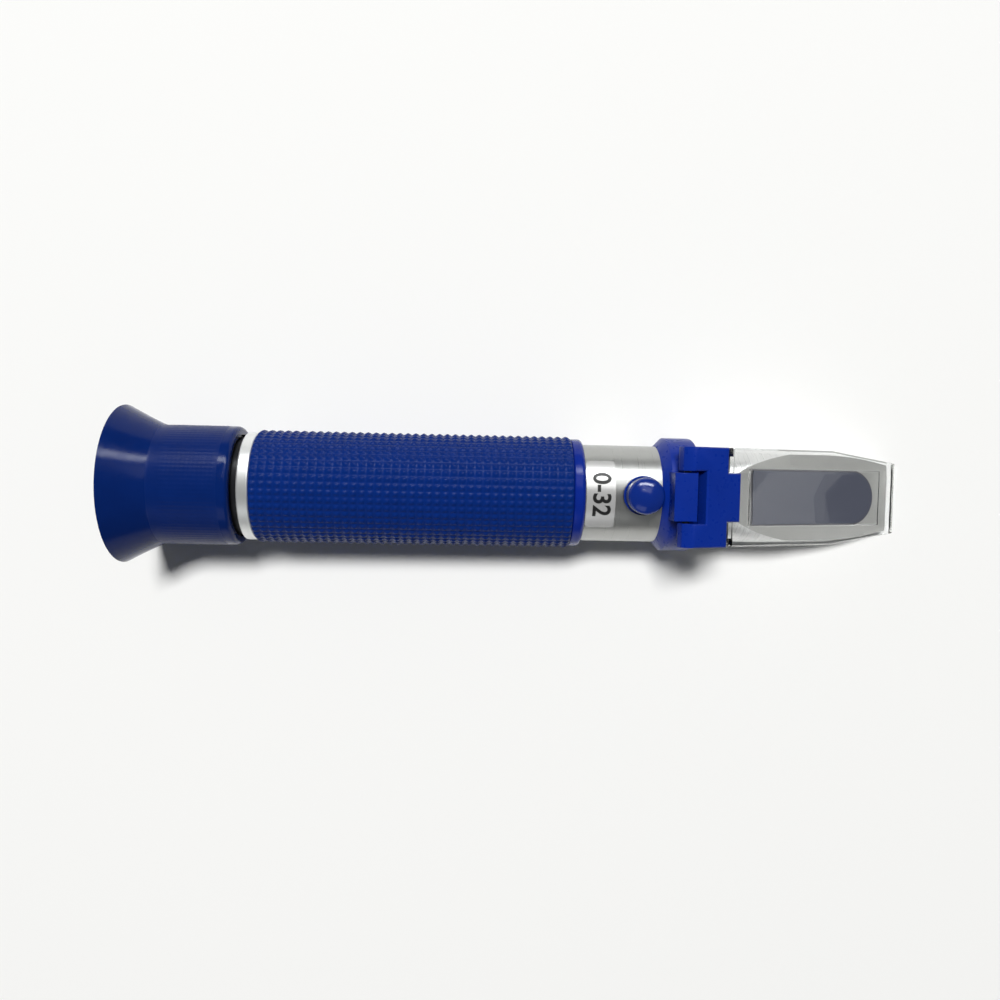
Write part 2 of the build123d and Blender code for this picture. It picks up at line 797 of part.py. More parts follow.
# Rubber cap over the calibration screw, hollow below and saddle shaped where it meets the barrel
cap_top = barrel_radius + cap_height
cap_shoulder = cap_top - cap_dome
cap_low = sqrt(barrel_radius**2 - cap_foot_radius**2)
cavity_radius = bush_flange_radius + running_clearance
with BuildPart() as calibration_cap:
    with BuildSketch(cap_side):
        with BuildLine():
            Polyline(
                (cavity_radius, cap_low),
                (cap_foot_radius, cap_low),
                (cap_foot_radius, barrel_radius + cap_foot_height),
                (cap_radius, barrel_radius + cap_foot_height),
                (cap_radius, cap_shoulder),
            )
            TangentArc((0, cap_top), (cap_radius, cap_shoulder), tangent=(1, 0))
            Polyline(
                (0, cap_top),
                (0, barrel_radius + cap_cavity_height),
                (cavity_radius, barrel_radius + cap_cavity_height),
                (cavity_radius, cap_low),
            )
        make_face()
    revolve(axis=cap_axis)
    shoulder_edges = calibration_cap.edges().filter_by(GeomType.CIRCLE).filter_by(
        lambda edge: abs(edge.center().Z - axis_height - cap_shoulder) < seat_clearance
    )
    fillet(shoulder_edges, cap_round)
    with BuildSketch(cross_section(cap_x)):
        Circle(barrel_radius + cap_saddle_gap)
    extrude(amount=2 * cap_radius, both=True, mode=Mode.SUBTRACT)
calibration_cap.part.label = "calibration_cap"

# Objective cell with a flat on its top, where the strip lies
cell_bore = cell_radius - cell_wall
lens_seat_x = cell_x + cell_lip_width
with BuildPart() as lens_cell:
    revolve(
        half_section(
            (cell_x, cell_bore - cell_lip),
            (cell_x, cell_radius),
            (cell_x + cell_length, cell_radius),
            (cell_x + cell_length, cell_bore),
            (lens_seat_x, cell_bore),
            (lens_seat_x, cell_bore - cell_lip),
        ),
        axis=optical_axis,
    )
    with BuildSketch(Plane(origin=(cap_x, 0, axis_height + strip_height))):
        Rectangle(right_through, right_through)
    extrude(amount=right_through, mode=Mode.SUBTRACT)
lens_cell.part.label = "lens_cell"

with BuildPart() as objective_lens:
    revolve(
        lens_section(
            lens_seat_x,
            objective_edge,
            cell_bore - seat_clearance,
            objective_bulge,
            objective_bulge,
        ),
        axis=optical_axis,
    )
objective_lens.part.label = "objective_lens"

with BuildPart() as objective_retainer:
    with BuildSketch(cross_section(lens_seat_x + objective_edge)):
        Circle(cell_bore - seat_clearance)
        Circle(cell_bore - seat_clearance - objective_retainer_wall, mode=Mode.SUBTRACT)
    extrude(amount=objective_retainer_length)
objective_retainer.part.label = "objective_retainer"

# Bimetal strip, its anchor block under the barrel wall and the screw through both
with BuildPart() as bimetal_strip:
    with BuildSketch(Plane(origin=((strip_start_x + strip_end_x) / 2, 0, axis_height + strip_height))):
        Rectangle(strip_length, strip_width)
    extrude(amount=strip_thickness)
    with BuildSketch(Plane(origin=(anchor_x, 0, axis_height))):
        Circle(anchor_screw_radius + seat_clearance)
    extrude(amount=barrel_radius, mode=Mode.SUBTRACT)
bimetal_strip.part.label = "bimetal_strip"

with BuildPart() as strip_anchor:
    with BuildSketch(cross_section(strip_start_x)):
        Circle(seat_radius)
        with Locations((0, strip_top + barrel_radius)):
            Rectangle(anchor_width, 2 * barrel_radius, mode=Mode.INTERSECT)
    extrude(amount=anchor_length)
    with BuildSketch(Plane(origin=(anchor_x, 0, axis_height))):
        Circle(anchor_screw_radius + seat_clearance)
    extrude(amount=barrel_radius, mode=Mode.SUBTRACT)
strip_anchor.part.label = "strip_anchor"

with BuildPart() as anchor_screw:
    revolve(anchor_screw_section(0), axis=anchor_axis)
anchor_screw.part.label = "anchor_screw"

# Reticle in its ring, and the baffle that holds it against its seat
reticle_ring_x = tube_end_x + focus_in + reticle_gap
baffle_x = reticle_ring_x + reticle_ring_length
reticle_x = baffle_x - reticle_thickness
with BuildPart() as reticle_ring:
    revolve(
        half_section(
            (reticle_ring_x, reticle_opening_radius),
            (reticle_ring_x, seat_radius),
            (baffle_x, seat_radius),
            (baffle_x, reticle_radius + seat_clearance),
            (reticle_x, reticle_radius + seat_clearance),
            (reticle_x, reticle_opening_radius),
        ),
        axis=optical_axis,
    )
reticle_ring.part.label = "reticle_ring"

with BuildPart() as reticle:
    with BuildSketch(cross_section(reticle_x)):
        Circle(reticle_radius)
    extrude(amount=reticle_thickness)
reticle.part.label = "reticle"

baffle_end_x = strip_start_x - baffle_gap
baffle_bore_radius = seat_radius - baffle_wall
baffle_mouth_radius = baffle_bore_radius - baffle_lip
with BuildPart() as baffle_tube:
    revolve(
        half_section(
            (baffle_x, baffle_mouth_radius),
            (baffle_x, seat_radius),
            (baffle_end_x, seat_radius),
            (baffle_end_x, baffle_stop_radius),
            (baffle_end_x - baffle_stop_length, baffle_stop_radius),
            (baffle_end_x - baffle_stop_length, baffle_bore_radius),
            (baffle_x + baffle_stop_length, baffle_bore_radius),
            (baffle_x + baffle_stop_length, baffle_mouth_radius),
        ),
        axis=optical_axis,
    )
baffle_tube.part.label = "baffle_tube"

# One STEP file for each piece
pieces = (
    eyecup, focusing_ring, lens_tube, eye_lens, field_lens, lens_spacer, lens_retainer,
    guide_screw, barrel_tube, rear_ring, rubber_grip, range_label, front_collar,
    collar_set_screws, prism_holder, main_prism, prism_seal, cover_bracket, daylight_plate,
    hinge_pin, calibration_bush, calibration_screw, calibration_cap, lens_cell,
    objective_lens, objective_retainer, bimetal_strip, strip_anchor, anchor_screw,
    reticle_ring, reticle, baffle_tube,
)
os.makedirs("parts", exist_ok=True)
for piece in pieces:
    export_step(piece.part, f"parts/{piece.part.label}.step")
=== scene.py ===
"""Hand-held refractometer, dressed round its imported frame. Lengths are metres."""

import json
import math

import bmesh
import bpy
from bpy.props import FloatProperty, FloatVectorProperty, IntProperty, PointerProperty, StringProperty
from mathutils import Matrix, Vector

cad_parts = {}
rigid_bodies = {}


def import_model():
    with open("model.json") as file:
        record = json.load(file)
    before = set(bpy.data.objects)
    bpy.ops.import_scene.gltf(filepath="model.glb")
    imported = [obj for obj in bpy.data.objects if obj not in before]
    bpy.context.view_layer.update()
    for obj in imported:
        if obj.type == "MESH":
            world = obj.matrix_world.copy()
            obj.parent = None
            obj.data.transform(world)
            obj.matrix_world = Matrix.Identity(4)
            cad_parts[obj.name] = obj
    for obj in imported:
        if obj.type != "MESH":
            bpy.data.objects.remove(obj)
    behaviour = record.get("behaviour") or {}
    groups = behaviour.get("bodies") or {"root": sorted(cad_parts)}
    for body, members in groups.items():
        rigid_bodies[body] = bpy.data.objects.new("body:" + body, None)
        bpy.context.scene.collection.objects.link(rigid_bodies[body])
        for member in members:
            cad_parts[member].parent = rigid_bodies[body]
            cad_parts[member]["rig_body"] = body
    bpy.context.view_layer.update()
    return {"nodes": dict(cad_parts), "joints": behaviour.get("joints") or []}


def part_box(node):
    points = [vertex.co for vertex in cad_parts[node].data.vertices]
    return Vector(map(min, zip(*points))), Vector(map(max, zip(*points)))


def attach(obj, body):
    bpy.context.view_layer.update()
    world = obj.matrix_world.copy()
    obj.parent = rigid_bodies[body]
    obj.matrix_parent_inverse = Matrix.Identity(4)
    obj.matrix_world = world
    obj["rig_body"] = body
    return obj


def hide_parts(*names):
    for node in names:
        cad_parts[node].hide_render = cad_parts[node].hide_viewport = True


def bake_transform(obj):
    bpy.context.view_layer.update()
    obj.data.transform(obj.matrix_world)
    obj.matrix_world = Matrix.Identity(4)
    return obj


bl_info = {
    "name": "Hand-held Refractometer",
    "version": (1, 0, 0),
    "blender": (4, 5, 0),
    "location": "3D View > Sidebar > Refractometer",
    "description": "Builds the rubber, plastic, metal and clear pieces of a hand-held refractometer",
    "category": "Object",
}

for leftover in list(bpy.data.objects):
    bpy.data.objects.remove(leftover)
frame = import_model()

MM = 0.001
PIN = Vector(next(joint["pos_m"] for joint in frame["joints"] if joint["name"] == "cover_swing"))
AXIS_Z = sum(corner.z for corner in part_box("barrel_tube")) / 2
SLOPE = math.radians(20)


def ends(node):
    """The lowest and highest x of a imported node."""
    low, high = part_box(node)
    return low.x, high.x


def radius_of(node):
    """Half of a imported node's width, which is the outer radius of a turned one."""
    low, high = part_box(node)
    return (high.y - low.y) / 2


# Profiles and meshes


def rounded(points, radii, steps):
    """An open outline in which each inner corner gets an arc of its own radius."""
    nearly_straight = math.radians(89)
    outline = [Vector(points[0])]
    for before, corner, after, radius in zip(points, points[1:], points[2:], radii):
        corner = Vector(corner)
        back = (Vector(before) - corner).normalized()
        ahead = (Vector(after) - corner).normalized()
        half = back.angle(ahead, math.pi) / 2
        if radius <= 0 or half > nearly_straight:
            outline.append(corner)
            continue
        reach = radius / math.tan(half)
        centre = corner + (back + ahead).normalized() * (radius / math.sin(half))
        first = corner + back * reach - centre
        turn = math.pi - 2 * half
        sign = 1 if first.x * ahead.y - first.y * ahead.x > 0 else -1
        for step in range(steps + 1):
            outline.append(centre + Matrix.Rotation(sign * turn * step / steps, 2) @ first)
    outline.append(Vector(points[-1]))
    return outline


def cut(work, place, normal):
    """Adds an edge wherever a plane crosses the faces."""
    everything = work.verts[:] + work.edges[:] + work.faces[:]
    bmesh.ops.bisect_plane(work, geom=everything, plane_co=place, plane_no=normal)


def finished(work, mesh):
    """Moves finished work into a mesh."""
    work.to_mesh(mesh)
    work.free()
    return mesh


def add_piece(name, mesh, body, slot, *nodes):
    """Links a mesh as a piece, which rides on the named body, if any, and stands for the named nodes."""
    piece = bpy.data.objects.new(name, mesh)
    bpy.context.scene.collection.objects.link(piece)
    if body:
        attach(piece, body)
    if nodes:
        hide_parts(*nodes)
    return piece


def lathe(name, outline, around, lift):
    """Turns a closed outline of (x, radius) about the optical axis. lift gives each point its radius."""
    crisp = math.radians(60)
    work = bmesh.new()
    rings = []
    for x, radius in outline:
        ring = []
        for step in range(around):
            angle = 2 * math.pi * step / around
            r = lift(x, angle, radius)
            ring.append(work.verts.new((x, r * math.sin(angle), AXIS_Z + r * math.cos(angle))))
        rings.append(ring)
    for first, second in zip(rings, rings[1:] + rings[:1]):
        for step in range(around):
            after = (step + 1) % around
            work.faces.new((first[step], first[after], second[after], second[step]))
    bmesh.ops.recalc_face_normals(work, faces=work.faces)
    mesh = finished(work, bpy.data.meshes.new(name))
    mesh.shade_smooth()
    mesh.set_sharp_from_angle(angle=crisp)
    return mesh


def softened(node, name, slot, edge, degrees, reshape=None):
    """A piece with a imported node's shape and rounded edges. reshape(work) may change it first."""
    seam, flat, segments = 0.002 * MM, math.radians(0.5), 3
    mesh = frame["nodes"][node].data.copy()
    mesh.name = name
    work = bmesh.new()
    work.from_mesh(mesh)
    bmesh.ops.remove_doubles(work, verts=work.verts, dist=seam)
    bmesh.ops.dissolve_limit(
        work, angle_limit=flat, verts=work.verts, edges=work.edges, delimit={"NORMAL"}
    )
    if reshape:
        reshape(work)
    finished(work, mesh).shade_smooth()
    piece = add_piece(name, mesh, frame["nodes"][node]["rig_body"], slot, node)
    bevel = piece.modifiers.new("Rounded edges", "BEVEL")
    bevel.width = edge
    bevel.segments = segments
    bevel.limit_method = "ANGLE"
    bevel.angle_limit = math.radians(degrees)
    bevel.harden_normals = True
    return piece


def dress(piece, *finishes, second=None):
    """Gives a piece its material. The faces that second(face) picks get the second one."""
    piece.data.materials.clear()
    for finish in finishes:
        piece.data.materials.append(finish)
    if second:
        for face in piece.data.polygons:
            face.material_index = 1 if second(face) else 0


# Finishes


class Finish:
    """A material with one Principled shader and short names for the nodes that feed it."""

    def __init__(self, name, **values):
        self.material = bpy.data.materials.new(name)
        self.material.use_nodes = True
        self.tree = self.material.node_tree
        self.shader = self.tree.nodes["Principled BSDF"]
        for socket, value in values.items():
            if isinstance(value, tuple):
                value = (*value, 1.0)
            self.shader.inputs[socket.replace("_", " ")].default_value = value

    def node(self, kind, **values):
        """Adds a node, with values for its sockets by name."""
        node = self.tree.nodes.new(kind)
        for socket, value in values.items():
            node.inputs[socket.replace("_", " ")].default_value = value
        return node

    def join(self, output, target):
        """Links an output to an input."""
        self.tree.links.new(output, target)

    def grain(self, scale, detail, stretch=(1, 1, 1)):
        """A noise pattern in the object's own coordinates, stretched by a scale for each axis."""
        coordinates = self.node("ShaderNodeTexCoord")
        places = self.node("ShaderNodeMapping", Scale=stretch)
        noise = self.node("ShaderNodeTexNoise", Scale=scale, Detail=detail)
        self.join(coordinates.outputs["Object"], places.inputs["Vector"])
        self.join(places.outputs["Vector"], noise.inputs["Vector"])
        return noise.outputs["Fac"]

    def spread(self, pattern, low, high):
        """Maps the range that most of a noise pattern fills to the one from low to high."""
        spread = self.node(
            "ShaderNodeMapRange", From_Min=0.3, From_Max=0.7, To_Min=low, To_Max=high
        )
        self.join(pattern, spread.inputs["Value"])
        return spread.outputs["Result"]

    def tint(self, pattern, dark, light):
        """Mixes two colours by a pattern and feeds the shader's colour."""
        mix = self.tree.nodes.new("ShaderNodeMix")
        mix.data_type = "RGBA"
        mix.inputs["A"].default_value = (*dark, 1)
        mix.inputs["B"].default_value = (*light, 1)
        self.join(pattern, mix.inputs["Factor"])
        self.join(mix.outputs["Result"], self.shader.inputs["Base Color"])

    def cloud(self, colour, shade, scale, detail):
        """Lets the colour drift to a shade of itself in soft patches."""
        patches = self.spread(self.grain(scale, detail), 0.0, 1.0)
        self.tint(patches, tuple(c * shade for c in colour), tuple(colour))

    def roughen(self, pattern, low, high):
        """Lets the roughness vary from low to high by a pattern."""
        self.join(self.spread(pattern, low, high), self.shader.inputs["Roughness"])

    def relief(self, pattern, depth, strength):
        """Feeds a fine relief of a given depth in metres to the shader's normal."""
        bump = self.node("ShaderNodeBump", Strength=strength, Distance=depth)
        self.join(pattern, bump.inputs["Height"])
        self.join(bump.outputs["Normal"], self.shader.inputs["Normal"])


def rubber(name, colour, roughness, gloss=0.14):
    """Soft rubber: a skin grain too fine to see one by one, and a slightly uneven sheen."""
    finish = Finish(name, Roughness=roughness, Specular_IOR_Level=gloss)
    finish.cloud(colour, shade=0.9, scale=260.0, detail=4.0)
    finish.roughen(finish.grain(scale=900.0, detail=3.0), roughness - 0.05, roughness + 0.06)
    finish.relief(finish.grain(scale=6500.0, detail=2.0), depth=0.012 * MM, strength=0.6)
    return finish.material


def moulded(name, colour, roughness, gloss=0.2):
    """Moulded plastic: smooth, with the faint waviness that a mould leaves."""
    finish = Finish(name, Roughness=roughness, Specular_IOR_Level=gloss)
    finish.cloud(colour, shade=0.93, scale=180.0, detail=3.0)
    finish.roughen(finish.grain(scale=700.0, detail=1.0), roughness - 0.04, roughness + 0.05)
    finish.relief(finish.grain(scale=900.0, detail=0.0), depth=0.004 * MM, strength=0.2)
    return finish.material


def satin_metal(name, colour, roughness, turning=9000.0, shine=1.0):
    """Satin metal with fine turning marks across the optical axis. Less shine makes it less metallic."""
    finish = Finish(name, Metallic=shine, Roughness=roughness)
    finish.cloud(colour, shade=0.94, scale=320.0, detail=4.0)
    marks = finish.grain(scale=1.0, detail=3.0, stretch=(turning, 60.0, 60.0))
    finish.roughen(marks, roughness - 0.05, roughness + 0.07)
    finish.relief(marks, depth=0.006 * MM, strength=0.5)
    return finish.material


def glass(name, colour, index):
    """Clear solid that bends light, with a few faint smears on its surface."""
    finish = Finish(name, Transmission_Weight=1.0, IOR=index, Roughness=0.0)
    smears = finish.grain(scale=120.0, detail=6.0, stretch=(1.0, 2.5, 1.0))
    finish.tint(smears, tuple(c * 0.985 for c in colour), colour)
    finish.roughen(smears, 0.0, 0.03)
    return finish.material


# Settings


class RubberSettings(bpy.types.PropertyGroup):
    """Sizes and colours of the grip and the eyecup."""

    colour: FloatVectorProperty(
        name="Rubber", description="Colour of the grip and the eyecup", subtype="COLOR",
        size=3, default=(0.0026, 0.022, 0.165), min=0, max=1,
    )
    rows: IntProperty(name="Rows", description="Bumps along the grip", default=39, min=4)
    columns: IntProperty(name="Columns", description="Bumps round the grip", default=48, min=8)
    relief: FloatProperty(
        name="Relief", description="Height of the grip's bumps", default=0.45 * MM,
        unit="LENGTH", precision=5,
    )
    lip: FloatProperty(
        name="Lip", description="Length of the grip's smooth lip", default=2.8 * MM,
        unit="LENGTH", precision=5,
    )
    rib_columns: IntProperty(
        name="Fine columns", description="Fine ribs round the eyecup", default=92, min=8
    )
    rib_relief: FloatProperty(
        name="Fine relief", description="Height of the eyecup's fine ribs", default=0.05 * MM,
        unit="LENGTH", precision=5,
    )


class PlasticSettings(bpy.types.PropertyGroup):
    """Colours and edges of the moulded pieces."""

    colour: FloatVectorProperty(
        name="Plastic", description="Colour of the collar and the bracket", subtype="COLOR",
        size=3, default=(0.003, 0.024, 0.26), min=0, max=1,
    )
    cap: FloatVectorProperty(
        name="Cap", description="Colour of the calibration cap", subtype="COLOR",
        size=3, default=(0.003, 0.022, 0.21), min=0, max=1,
    )
    edge: FloatProperty(
        name="Edge", description="Radius of the moulded edges", default=0.25 * MM,
        unit="LENGTH", precision=5,
    )


class LabelSettings(bpy.types.PropertyGroup):
    """The measuring range printed on the barrel's label."""

    text: StringProperty(name="Range", description="Plain numbers on the label", default="0-32")
    size: FloatProperty(
        name="Height", description="Height of the numbers", default=5.6 * MM,
        unit="LENGTH", precision=5,
    )


class StageSettings(bpy.types.PropertyGroup):
    """Floor, wall, lights and camera."""

    lens: FloatProperty(
        name="Lens", description="Focal length in millimetres", default=30.6, min=1, unit="CAMERA"
    )
    height: FloatProperty(
        name="Height", description="Height of the camera above the optical axis",
        default=199.75 * MM, unit="LENGTH",
    )
    tilt: FloatProperty(
        name="Tilt", description="Rise of the eyepiece towards the camera",
        default=math.atan(0.04), unit="ROTATION",
    )
    roll: FloatProperty(
        name="Roll", description="Turn of the instrument about its optical axis",
        default=math.radians(2.5), unit="ROTATION",
    )
    spin: FloatProperty(
        name="Spin", description="Turn of the instrument in the picture",
        default=math.radians(1.15), unit="ROTATION",
    )
    key: FloatProperty(
        name="Key light", description="Power of the main light", default=97.0, min=0, unit="POWER"
    )
    window: FloatProperty(
        name="Window", description="Power of the long strip of gloss", default=17.0, min=0, unit="POWER"
    )
    ceiling: FloatProperty(
        name="Ceiling", description="Power of the broad gloss", default=1.3, min=0, unit="POWER"
    )
    fill: FloatProperty(
        name="Fill light", description="Power of the weak front gloss", default=1.0, min=0, unit="POWER"
    )
    wall: FloatProperty(
        name="Wall", description="Distance of the pale wall", default=1.7, unit="LENGTH"
    )
    room: FloatProperty(name="Room", description="Brightness of the room", default=0.09, min=0)


GROUPS = {
    "refractometer_rubber": RubberSettings,
    "refractometer_plastic": PlasticSettings,
    "refractometer_label": LabelSettings,
    "refractometer_stage": StageSettings,
}


# Pieces


class REFRACTOMETER_OT_metal(bpy.types.Operator):
    """Gives the barrel and its rear ring their satin metal"""

    bl_idname = "refractometer.metal"
    bl_label = "Metal pieces"

    def execute(self, context):
        nodes = frame["nodes"]
        dress(nodes["barrel_tube"], satin_metal("Satin aluminium", (0.46, 0.465, 0.45), 0.32, shine=0.85))
        dress(nodes["rear_ring"], satin_metal("Bright ring", (0.88, 0.89, 0.88), 0.38, shine=0.75))
        return {"FINISHED"}


class REFRACTOMETER_OT_grip(bpy.types.Operator):
    """Builds the grip: a rubber sleeve with rows of small pyramids and a smooth lip"""

    bl_idname = "refractometer.grip"
    bl_label = "Rubber grip"

    def execute(self, context):
        sizes = context.scene.refractometer_rubber
        start, end = ends("rubber_grip")
        tip = radius_of("rubber_grip")
        valley = tip - sizes.relief
        bore = radius_of("barrel_tube") + 0.01 * MM
        ribs_end = end - sizes.lip
        pitch = (ribs_end - start) / sizes.rows
        samples = 6
        flat_valley, slope = 0.1, 0.75
        lip_radius = tip - 0.55 * MM
        lip_foot = (ribs_end + 0.12 * MM, lip_radius - 0.45 * MM)
        lip_shoulder = (ribs_end + 0.3 * MM, lip_radius)
        lip_rounds = [0, 0.25 * MM, 1.05 * MM]

        def triangle(turns):
            """A wave from 0 at whole turns to 1 half way, with flattened valleys and tips."""
            wave = 1 - abs(2 * (turns % 1) - 1)
            return min(1.0, max(0.0, (wave - flat_valley) / slope))

        def lift(x, angle, radius):
            """Raises a pyramid in each cell of the ribbed length."""
            if radius < valley - 0.001 * MM or not start < x < ribs_end:
                return radius
            column = angle * sizes.columns / (2 * math.pi)
            return radius + sizes.relief * min(triangle((x - start) / pitch), triangle(column))

        outline = [(start, bore), (start, valley - 0.3 * MM)]
        for step in range(1, sizes.rows * samples):
            outline.append((start + step * pitch / samples, valley))
        outline.append((ribs_end, valley))
        lip = [(ribs_end, valley), lip_foot, lip_shoulder, (end, lip_radius), (end, bore)]
        outline += rounded(lip, lip_rounds, steps=10)[1:]
        mesh = lathe("grip_sleeve", outline, sizes.columns * samples, lift)
        piece = add_piece("grip_sleeve", mesh, "barrel", "grip_rubber", "rubber_grip")
        dress(
            piece,
            rubber("Grip rubber", tuple(sizes.colour), roughness=0.3, gloss=0.08),
            # The lip's brighter blue is partly the smooth rubber's deeper colour and partly a painted
            # highlight.
            rubber("Smooth lip with painted highlight", (0.0035, 0.021, 0.25), roughness=0.2, gloss=0.2),
            second=lambda face: face.center.x > ribs_end,
        )
        return {"FINISHED"}


class REFRACTOMETER_OT_eyecup(bpy.types.Operator):
    """Builds the eyecup: a flared rubber cup with fine ribs on its sleeve"""

    bl_idname = "refractometer.eyecup"
    bl_label = "Eyecup"

    def execute(self, context):
        sizes = context.scene.refractometer_rubber
        rim, end = ends("eyecup")
        ring_start, _ = ends("focusing_ring")
        rim_radius = radius_of("eyecup")
        bore = radius_of("focusing_ring") + 0.02 * MM
        sleeve = 13.7 * MM
        hole = 7.6 * MM
        flare, flare_steps, flare_power = 9.0 * MM, 60, 1.12
        funnel_end = rim + 8.8 * MM
        ribs_start, ribs_end = rim + 10.2 * MM, rim + 24.0 * MM
        fade_in, fade_out = 2.0 * MM, 1.0 * MM
        pitch = 2 * math.pi * sleeve / sizes.rib_columns
        samples = 4

        def lift(x, angle, radius):
            """Raises the fine ribs, fading them in and out at the ends of their band."""
            if abs(radius - sleeve) > 0.001 * MM or not ribs_start < x < ribs_end:
                return radius
            fade = min(1.0, (x - ribs_start) / fade_in, (ribs_end - x) / fade_out)
            along = 0.5 - 0.5 * math.cos(2 * math.pi * (x - ribs_start) / pitch)
            crest = 0.5 - 0.5 * math.cos(sizes.rib_columns * angle)
            return radius + sizes.rib_relief * fade * crest * (0.55 + 0.45 * along)

        def ribbed(face):
            """Whether a face lies in the ribbed band on the sleeve's outside."""
            middle = face.center
            out = math.hypot(middle.y, middle.z - AXIS_Z)
            return ribs_start - 1.2 * MM < middle.x < ribs_end and out > sleeve - 0.1 * MM

        outline = []
        for step in range(flare_steps):
            along = step / flare_steps
            widening = (rim_radius - sleeve) * (1 - along) ** flare_power
            outline.append((rim + flare * along, sleeve + widening))
        count = int((ribs_end - rim - flare) / (pitch / samples))
        outline += [(rim + flare + step * pitch / samples, sleeve) for step in range(1, count + 1)]
        tail = [outline[-1], (end, sleeve), (end, bore), (ring_start, bore)]
        outline += rounded(tail, [1.1 * MM, 0.15 * MM], steps=8)[1:]
        funnel = (funnel_end - 1.6 * MM, sleeve - 1.3 * MM)
        inside = [
            (ring_start, bore), (ring_start, hole), (funnel_end, hole), funnel,
            (rim, rim_radius - 0.8 * MM), (rim, rim_radius),
        ]
        outline += rounded(inside, [0.2 * MM, 0.2 * MM, 0.8 * MM, 0.3 * MM], steps=6)[1:-1]
        mesh = lathe("eyecup_skin", outline, sizes.rib_columns * samples, lift)
        piece = add_piece("eyecup_skin", mesh, "eyepiece_ring", "eyecup_rubber", "eyecup")
        # The eyecup's colour is the grip's rubber darkened to 0.74: painted shade for the darker look of
        # its flare in this light.
        shade = tuple(0.74 * c for c in sizes.colour)
        dress(
            piece,
            rubber("Polished eyecup", shade, roughness=0.15, gloss=0.14),
            rubber("Ribbed eyecup", shade, roughness=0.34, gloss=0.12),
            second=ribbed,
        )
        return {"FINISHED"}


class REFRACTOMETER_OT_cap(bpy.types.Operator):
    """Finishes the rubber cap over the calibration screw"""

    bl_idname = "refractometer.cap"
    bl_label = "Calibration cap"

    def execute(self, context):
        settings = context.scene.refractometer_plastic
        piece = softened("calibration_cap", "calibration_dome", "cap_rubber", edge=0.15 * MM, degrees=40)
        dress(piece, moulded("Cap rubber", tuple(settings.cap), roughness=0.14, gloss=0.5))
        return {"FINISHED"}


class REFRACTOMETER_OT_collar(bpy.types.Operator):
    """Rounds the collar's moulded edges"""

    bl_idname = "refractometer.collar"
    bl_label = "Front collar"

    def execute(self, context):
        settings = context.scene.refractometer_plastic
        piece = softened("front_collar", "hinge_collar", "blue_plastic", settings.edge, degrees=40)
        dress(piece, moulded("Collar plastic", tuple(settings.colour), roughness=0.3))
        return {"FINISHED"}


class REFRACTOMETER_OT_cover(bpy.types.Operator):
    """Builds the hinged cover: its bracket, the clear plate and the pin"""

    bl_idname = "refractometer.cover"
    bl_label = "Hinged cover"

    def execute(self, context):
        settings = context.scene.refractometer_plastic
        bracket = softened("cover_bracket", "hinge_bracket", "blue_plastic", settings.edge, degrees=40)
        dress(bracket, moulded("Bracket plastic", tuple(settings.colour), roughness=0.3))
        along = Vector((math.cos(SLOPE), 0, -math.sin(SLOPE)))
        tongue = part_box("calibration_cap")[1].y + 1.1 * MM
        arms, margin, setback = 7 * MM, 0.05 * MM, 1.7 * MM
        bracket_mesh = frame["nodes"]["cover_bracket"].data
        reach = max((v.co - PIN).dot(along) for v in bracket_mesh.vertices if abs(v.co.y) > arms)

        def step_back(work):
            """Sets the plate's two rear corners back beside the bracket's tongue."""
            for side in (-1, 1):
                for place in (tongue, tongue + margin):
                    cut(work, (0, side * place, 0), (0, 1, 0))
            for vertex in work.verts:
                behind = (vertex.co - PIN).dot(along) - reach
                if abs(vertex.co.y) > tongue + 0.03 * MM and -0.1 * MM < behind < 0.6 * MM:
                    vertex.co += setback * along

        plate = softened(
            "daylight_plate", "clear_plate", "clear_acrylic", edge=0.12 * MM, degrees=30, reshape=step_back
        )
        plate.visible_shadow = False
        plate.visible_diffuse = False
        dress(plate, glass("Clear acrylic", (0.97, 0.98, 0.98), index=1.49))
        # The pin is nearly black: painted shade for its ends in the narrow gaps beside the lug.
        dress(frame["nodes"]["hinge_pin"], satin_metal("Pin steel in painted shade", (0.10, 0.10, 0.105), 0.35))
        return {"FINISHED"}


class REFRACTOMETER_OT_prism(bpy.types.Operator):
    """Finishes the prism, its seal and its holder"""

    bl_idname = "refractometer.prism"
    bl_label = "Prism and holder"

    def execute(self, context):
        nodes = frame["nodes"]
        upward = Vector((math.sin(SLOPE), 0, math.cos(SLOPE)))
        on_bed = math.cos(math.radians(1))
        holder = softened("prism_holder", "prism_bed", "holder_aluminium", edge=0.2 * MM, degrees=30)
        dress(
            holder,
            satin_metal("Turned holder", (0.80, 0.80, 0.79), 0.3, shine=0.8),
            # The faces that look up along the bed get a darker, less shiny grey than the rest of the
            # holder.
            satin_metal("Darker bed facing up", (0.42, 0.42, 0.405), 0.4, shine=0.5),
            second=lambda face: face.normal.dot(upward) > on_bed,
        )
        # The prism is drawn opaque. Its dark grey-blue is partly the black paint on its lower faces, seen
        # through the glass, and partly a painted reflection in its top face.
        prism = Finish("Prism glass with painted reflection", Roughness=0.12, Coat_Weight=1.0, Coat_Roughness=0.03)
        prism.tint(prism.grain(scale=90.0, detail=2.0), (0.073, 0.079, 0.112), (0.083, 0.089, 0.124))
        dress(nodes["main_prism"], prism.material)
        dress(nodes["prism_seal"], rubber("Prism seal", (0.12, 0.12, 0.13), roughness=0.4))
        return {"FINISHED"}


